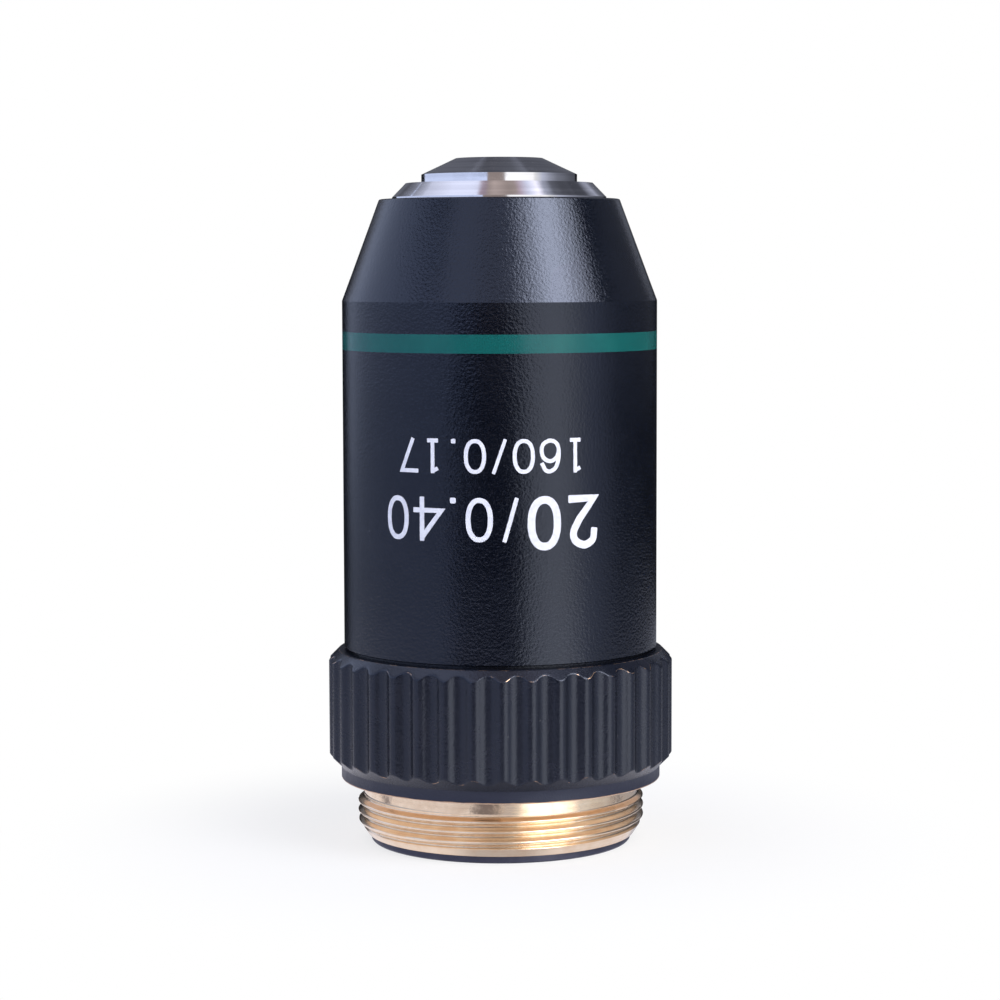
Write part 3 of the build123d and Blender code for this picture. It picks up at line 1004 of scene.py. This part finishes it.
numeral_lines = [
    make_numerals("magnification_numerals", "20", bold, large_start, large_baseline),
    make_numerals("aperture_numerals", "/0.40", light, light_start, light_baseline),
    make_numerals("tube_length_numerals", "160/0.17", small, small_start, small_baseline),
]
for line in numeral_lines:
    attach(line, "housing")


# Camera, floor and room


camera_lens = 99.72  # millimetres
camera_sensor = 36
camera_place = (0, -0.195, 0.04086)  # metres
camera_dip = 4.92  # degrees below level
camera_lean = -0.147  # degrees about its line of sight


def place_camera():
    """The photograph's viewpoint, from a fit of the object's outline."""
    data = bpy.data.cameras.new("camera")
    data.lens = camera_lens
    data.sensor_width = camera_sensor
    data.clip_start = 0.01
    camera = bpy.data.objects.new("camera", data)
    pitch = Matrix.Rotation(radians(90 - camera_dip), 4, "X")
    roll = Matrix.Rotation(radians(camera_lean), 4, "Z")
    camera.matrix_world = Matrix.Translation(camera_place) @ pitch @ roll
    bpy.context.scene.collection.objects.link(camera)
    bpy.context.scene.camera = camera


def make_floor():
    """A pale floor that keeps the object's shadow, fades to the white background and is clear from below."""
    half = 3.0
    shadow_start = 0.014
    shadow_end = 0.036
    palest_shadow = 0.72
    mesh = bpy.data.meshes.new("floor")
    corners = [(-half, -half, 0), (half, -half, 0), (half, half, 0), (-half, half, 0)]
    mesh.from_pydata(corners, [], [(0, 1, 2, 3)])
    material, tree, sockets = new_material("pale_floor", Roughness=0.9, Specular_IOR_Level=0.0)
    grain = cloud(tree, object_place(tree), 0.9 * PER_MM, detail=4.0)
    fill(tree, sockets["Base Color"], blend_colours(tree, grain, (0.84, 0.84, 0.85), (0.88, 0.88, 0.88)))
    place = object_place(tree)
    away = add_node(tree, "VectorMath", {"operation": "LENGTH"})
    tree.links.new(place, away.inputs[0])
    far = remap(tree, away.outputs["Value"], shadow_start, shadow_end, palest_shadow, 1.0)
    rays = add_node(tree, "LightPath").outputs
    seen = calculate(tree, "MAXIMUM", rays["Is Camera Ray"], rays["Is Transmission Ray"])
    share = calculate(tree, "MULTIPLY", far, seen)
    surface = next(item for item in tree.nodes if item.type == "BSDF_PRINCIPLED")
    white = add_node(tree, "Emission", Color=(1, 1, 1, 1), Strength=1.0)
    faded = mix_shaders(tree, share, surface, white)
    under = add_node(tree, "NewGeometry").outputs["Backfacing"]
    one_sided = mix_shaders(tree, under, faded, add_node(tree, "BsdfTransparent"))
    output = next(item for item in tree.nodes if item.type == "OUTPUT_MATERIAL")
    tree.links.new(one_sided.outputs[0], output.inputs["Surface"])
    mesh.materials.append(material)
    ground = bpy.data.objects.new("floor", mesh)
    ground.visible_glossy = False
    bpy.context.scene.collection.objects.link(ground)


def make_room():
    """White where the camera, metal and glass see it, and a soft pale light on everything else."""
    world = bpy.data.worlds.new("room")
    world.use_nodes = True
    tree = world.node_tree
    tree.nodes.clear()
    rays = add_node(tree, "LightPath").outputs
    seen = calculate(tree, "MAXIMUM", rays["Is Camera Ray"], rays["Is Glossy Ray"])
    seen = calculate(tree, "MAXIMUM", seen, rays["Is Transmission Ray"])
    soft = add_node(tree, "Background", Color=(0.94, 0.95, 1.0, 1.0), Strength=0.40)
    white = add_node(tree, "Background", Color=(1.0, 1.0, 1.0, 1.0), Strength=1.0)
    mixed = mix_shaders(tree, seen, soft, white)
    output = tree.nodes.new("ShaderNodeOutputWorld")
    tree.links.new(mixed.outputs[0], output.inputs["Surface"])
    bpy.context.scene.world = world


# Lamps and cards


daylight = (1.0, 0.99, 0.97)
cool_white = (0.95, 0.96, 1.0)
cool = (0.66, 0.75, 1.0)
lavender = (0.79, 0.83, 1.0)
grey = (0.80, 0.84, 1.0)
pink = (1.0, 0.80, 0.93)
warm = (1.0, 0.82, 0.74)
paper = (0.92, 0.90, 1.0)

# Elevations at which upright cards end or meet, in degrees from the object's middle
lowest = -26
neck_foot = -17.5
neck_head = -13.2
sill_head = -9
panel_foot = -12.4
waist_foot = -4
waist_head = 4

# Distances from the object's middle, in metres
card_distance = 0.30
camera_card_distance = 0.18
table_card_distance = 0.31
rear_distance = 0.44
wall_distance = 0.46
table_level = -0.145
ceiling_level = 0.45
ceiling_break = 0.27
flat_half = 0.5

middle = Vector((0, 0, (cad_low.z + cad_high.z) / 2))


def direction(azimuth, elevation):
    """A unit vector at degrees from -Y towards +X and degrees up."""
    turn, rise = radians(azimuth), radians(elevation)
    return Vector((sin(turn) * cos(rise), -cos(turn) * cos(rise), sin(rise)))


def add_softbox(name, azimuth, elevation, distance, width, height, colour, radiance):
    """A rectangular lamp that faces the object, with an even brightness."""
    data = bpy.data.lights.new(name, "AREA")
    data.shape = "RECTANGLE"
    data.size = width
    data.size_y = height
    data.color = colour
    data.energy = radiance * pi * width * height
    lamp = bpy.data.objects.new(name, data)
    away = direction(azimuth, elevation)
    lamp.location = middle + away * distance
    lamp.rotation_euler = away.to_track_quat("Z", "Y").to_euler()
    lamp.visible_camera = False
    bpy.context.scene.collection.objects.link(lamp)
    return lamp


def hang_card(name, points, faces, radiance, lights=False):
    """A glowing card that only reflections show. It lights the object too where lights is set."""
    mesh = bpy.data.meshes.new(name)
    mesh.from_pydata(points, [], faces)
    marks = mesh.attributes.new("radiance", "FLOAT_COLOR", "POINT")
    marks.data.foreach_set("color", [part for colour in radiance for part in (*colour, 1.0)])
    material = bpy.data.materials.new(name)
    material.use_nodes = True
    material.cycles.emission_sampling = "AUTO" if lights else "NONE"
    tree = material.node_tree
    tree.nodes.clear()
    glow = add_node(tree, "Attribute", {"attribute_name": "radiance"}).outputs["Color"]
    shine = add_node(tree, "Emission", Color=glow)
    output = tree.nodes.new("ShaderNodeOutputMaterial")
    tree.links.new(shine.outputs[0], output.inputs["Surface"])
    mesh.materials.append(material)
    card = bpy.data.objects.new(name, mesh)
    card.visible_camera = False
    card.visible_shadow = False
    card.visible_diffuse = lights
    card.visible_transmission = False
    bpy.context.scene.collection.objects.link(card)


def add_card(name, elevations, distance, stripes, lights=False, longest=6):
    """A bent upright card whose stripes, each an azimuth, a colour and a strength, run into each other."""
    bands = []
    for (place, colour, strength), (next_place, next_colour, next_strength) in zip(stripes, stripes[1:]):
        count = ceil((next_place - place) / longest)
        for step in range(count):
            share = step / count
            glow = (Vector(colour) * strength).lerp(Vector(next_colour) * next_strength, share)
            bands.append((place + (next_place - place) * share, glow))
    bands.append((next_place, Vector(next_colour) * next_strength))
    points, faces, radiance = [], [], []
    for azimuth, glow in bands:
        for elevation in elevations:
            rise = Vector((0, 0, tan(radians(elevation))))
            points.append(middle + (direction(azimuth, 0) + rise) * distance)
            radiance.append(glow)
    for band in range(len(bands) - 1):
        faces.append((2 * band, 2 * band + 1, 2 * band + 3, 2 * band + 2))
    hang_card(name, points, faces, radiance, lights)


def add_flat_card(name, height, near, far, stripes, lights=False):
    """A level card whose stripes, each a place across, a colour and a strength, run into each other."""
    points, faces, radiance = [], [], []
    for place, colour, strength in stripes:
        for depth in (near, far):
            points.append(middle + Vector((place, depth, height)))
            radiance.append(Vector(colour) * strength)
    for stripe in range(len(stripes) - 1):
        faces.append((2 * stripe, 2 * stripe + 1, 2 * stripe + 3, 2 * stripe + 2))
    hang_card(name, points, faces, radiance, lights)


def one_colour(colour, *stripes):
    """Stripes of one colour, from pairs of a place and a strength."""
    return [(place, colour, strength) for place, strength in stripes]


def hang_lamps():
    """The key in three lamps. A card stands in for the lowest in reflections."""
    key_low = add_softbox(
        "key_low", azimuth=32, elevation=8, distance=0.30,
        width=0.22, height=0.13, colour=daylight, radiance=1.6,
    )
    key_low.visible_glossy = False
    add_softbox(
        "key_high", azimuth=50, elevation=40, distance=0.30,
        width=0.25, height=0.15, colour=cool_white, radiance=4.4,
    )
    add_softbox(
        "key_heart", azimuth=48, elevation=40, distance=0.29,
        width=0.10, height=0.12, colour=cool_white, radiance=5.2,
    )


def hang_key_cards():
    """The key as reflections show it, to the right: tall, and brightest in its middle."""
    add_card(
        "key_front", (sill_head, 0), card_distance,
        [
            *one_colour(grey, (6, 0.04), (14, 0.30)),
            *one_colour(daylight, (22, 1.05), (32, 1.60), (42, 2.0), (53, 1.25)),
            *one_colour(grey, (66, 0.85), (80, 0.50), (94, 0.06), (125, 0.02)),
        ],
        longest=3,
    )
    add_card(
        "key_top", (0, 30), card_distance,
        [
            *one_colour(grey, (8, 0.4)),
            *one_colour(daylight, (9, 1.7), (50, 1.5), (54, 1.1)),
            *one_colour(grey, (66, 0.85), (80, 0.48), (94, 0.30), (128, 0.16), (150, 0.12)),
        ],
    )
    add_card(
        "key_sill", (neck_head, sill_head), card_distance,
        [
            *one_colour(grey, (8, 0.1)),
            *one_colour(daylight, (16, 0.7), (24, 1.2), (42, 1.5), (54, 1.2)),
            *one_colour(grey, (70, 0.7), (180, 0.3)),
        ],
    )
    add_card(
        "key_neck", (neck_foot, neck_head), card_distance,
        [
            (17, paper, 0.8), (18.5, daylight, 2.3), (62, daylight, 2.3), (64, grey, 0.8),
            (82, daylight, 0.75), (110, paper, 0.5), (180, grey, 0.4),
        ],
    )
    add_card(
        "key_foot", (lowest, neck_foot), card_distance,
        [
            *one_colour(paper, (17, 0.9)),
            *one_colour(daylight, (18.5, 2.5), (62, 2.5)),
            *one_colour(grey, (63.5, 0.75), (71, 0.60)),
            *one_colour(daylight, (72, 1.4), (76, 1.4)),
            *one_colour(grey, (77, 0.70), (110, 0.66), (180, 0.60)),
        ],
    )


def hang_panels():
    """The wide cool panel to the left, which lights the object too, and a strip above the front."""
    add_card(
        "panel_high", (waist_head, 38), card_distance,
        one_colour(cool, (-143, 1.25), (-17, 1.35)),
        lights=True,
    )
    add_card(
        "panel_middle", (waist_foot, waist_head), card_distance,
        one_colour(cool, (-143, 0.76), (-90, 0.68), (-60, 0.62), (-33, 0.50)),
        lights=True,
    )
    add_card(
        "panel_low", (panel_foot, waist_foot), card_distance,
        one_colour(cool, (-143, 0.30), (-120, 0.42), (-95, 0.62), (-70, 0.70), (-33, 0.74)),
        lights=True,
    )
    add_card("panel_top", (36, 52), card_distance, one_colour(grey, (-50, 1.15), (16, 1.05)))


def hang_surroundings():
    """What else reflections show: the camera's side, the table round the object, the walls and the back."""
    add_card("camera_side", (-13, 5), camera_card_distance, one_colour(warm, (-19, 0.01), (16, 0.02)))
    add_card("above_camera", (5, 34), camera_card_distance, one_colour(warm, (-17, 0.42), (8, 0.42)))
    add_card(
        "table_left", (lowest, panel_foot), table_card_distance,
        one_colour(paper, (-180, 0.6), (-150, 1.0), (-19, 1.0)),
    )
    add_card(
        "table_front", (lowest, neck_foot), table_card_distance,
        one_colour(paper, (-19, 1.05), (-8, 1.20), (6, 1.30), (13, 1.25), (18, 1.10)),
    )
    add_card(
        "neck_front", (neck_foot, -11), table_card_distance,
        one_colour(paper, (-19, 0.95), (-8, 0.60), (6, 0.50), (13, 0.60), (18, 0.80)),
    )
    add_card("walls", (lowest, 43), wall_distance, one_colour(grey, (-180, 0.02), (180, 0.02)))
    add_card(
        "rear_wall", (8, 45.6), rear_distance,
        one_colour(
            lavender,
            (128, 0.10), (143, 0.12), (149, 0.50), (153, 0.62), (158, 0.26), (165, 0.15),
            (185, 0.16), (197, 0.20), (203, 0.14), (210, 0.26), (218, 0.44), (230, 1.05),
        ),
    )
    # Dimmer across the middle: a painted shadow of the object on the table.
    add_flat_card(
        "table", table_level, -flat_half, flat_half,
        one_colour(
            paper,
            (-flat_half, 1.0), (-0.06, 0.95), (-0.03, 0.55), (0.03, 0.55), (0.06, 0.90), (flat_half, 0.80),
        ),
    )


def hang_ceiling():
    """The ceiling in bright and dark strips, of which the front half lights the object too."""
    add_flat_card(
        "ceiling_front", ceiling_level, -0.40, ceiling_break,
        [
            *one_colour(lavender, (-flat_half, 0.60), (-0.29, 1.15), (-0.20, 1.50), (-0.095, 1.50)),
            *one_colour(pink, (-0.078, 0.55), (-0.060, 0.46)),
            *one_colour(warm, (-0.045, 0.52), (-0.021, 0.68), (0.042, 0.46), (0.070, 0.52)),
            (0.090, pink, 0.72), (0.127, lavender, 1.30), (0.165, paper, 1.85),
            *one_colour(lavender, (0.192, 0.70), (0.211, 0.54)),
            *one_colour(grey, (0.232, 0.22), (0.274, 0.13), (0.340, 0.13), (0.380, 0.30), (flat_half, 0.30)),
        ],
        lights=True,
    )
    add_flat_card(
        "ceiling_back", ceiling_level, ceiling_break, 0.46,
        [
            *one_colour(lavender, (-flat_half, 0.60), (-0.29, 1.15), (-0.21, 0.50), (-0.15, 0.22)),
            *one_colour(lavender, (-0.090, 0.30), (-0.070, 0.27), (-0.050, 0.12)),
            *one_colour(grey, (0.040, 0.17)),
            *one_colour(lavender, (0.080, 0.30), (0.100, 0.28), (0.125, 0.15)),
            *one_colour(grey, (flat_half, 0.13)),
        ],
    )


place_camera()
make_floor()
make_room()
hang_lamps()
hang_key_cards()
hang_panels()
hang_surroundings()
hang_ceiling()
bpy.context.scene.view_settings.view_transform = "Standard"
